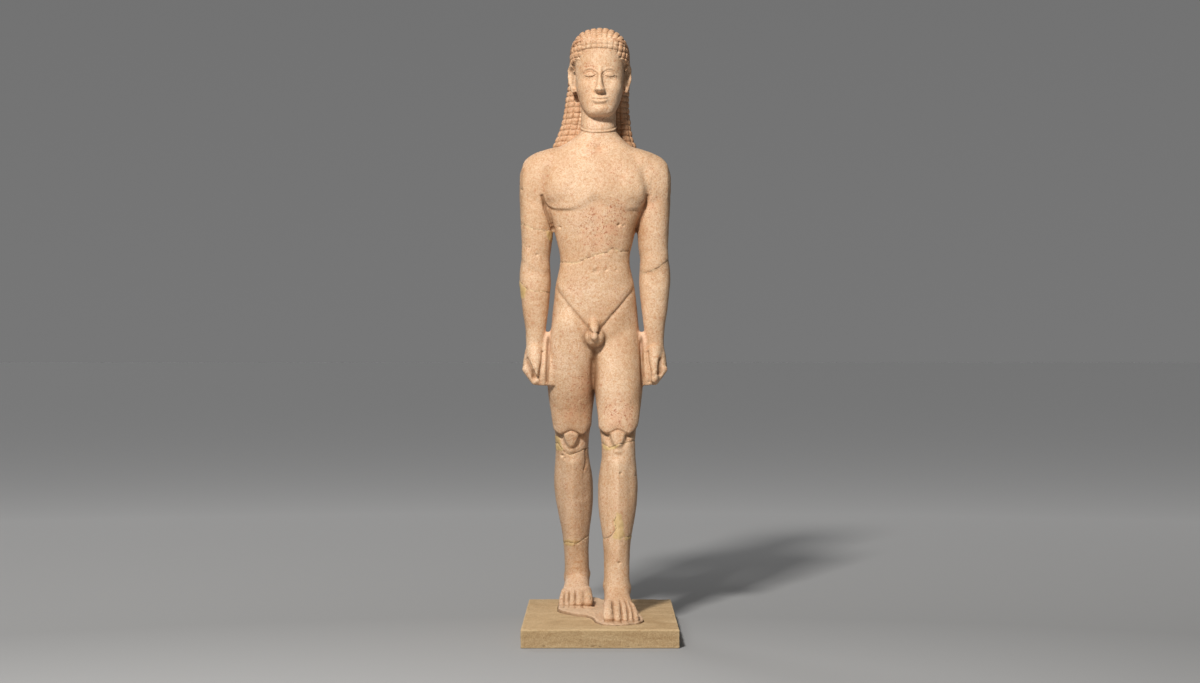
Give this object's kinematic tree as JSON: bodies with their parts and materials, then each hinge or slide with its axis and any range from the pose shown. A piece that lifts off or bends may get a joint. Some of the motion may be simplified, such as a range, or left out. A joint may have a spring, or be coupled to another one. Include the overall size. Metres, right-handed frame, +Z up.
{
  "type": "standing marble youth statue on a stone base",
  "caption": "Life-size archaic marble youth, left foot forward and fists at his thighs, with beaded long hair, on a thin plinth let into a stone slab.",
  "frame": {"origin": "centre of the rectangular slab's underside, on the floor", "axes": "+Z up, -Y the way the youth faces and steps, +X to the left-hand side of the figure"},
  "size_m": [0.5217, 0.8, 2.0186],
  "materials": {
    "marble": "warm worn marble with reddish-brown speckle, dull",
    "base_stone": "sandy granular stone, matt"
  },
  "bodies": {
    "root": {"kouros_figure": "marble", "base_slab": "base_stone"}
  },
  "joints": []
}
